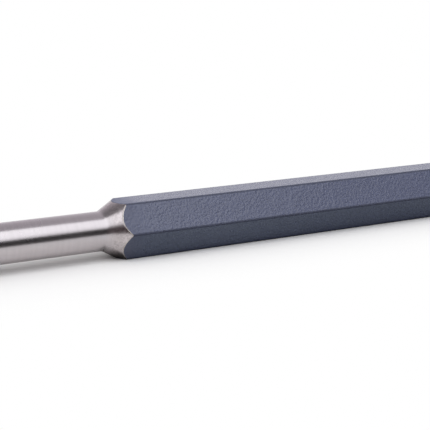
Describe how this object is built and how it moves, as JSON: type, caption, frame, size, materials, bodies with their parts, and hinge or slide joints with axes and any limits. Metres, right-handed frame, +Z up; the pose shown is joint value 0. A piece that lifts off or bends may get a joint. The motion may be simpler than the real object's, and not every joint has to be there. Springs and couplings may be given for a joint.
{
  "type": "pin punch",
  "caption": "Straight pin punch: coated hexagonal body, ground cone shoulder, parallel round pin and bevelled struck end, lying on one flat.",
  "frame": {"origin": "middle of the punch's length, on the surface it lies on, straight below its axis", "axes": "+X along the punch from the pin's tip to the struck face, +Z up, square to the hexagon's flat that it rests on"},
  "size_m": [0.1444, 0.0128, 0.0113],
  "materials": {
    "ground_steel": "bare hardened steel, ground round the axis, satin",
    "body_coating": "blue-grey baked coating, satin, with a fine orange-peel grain"
  },
  "bodies": {
    "root": {"punch_bar": "ground_steel", "body_coating": "body_coating"}
  },
  "joints": []
}
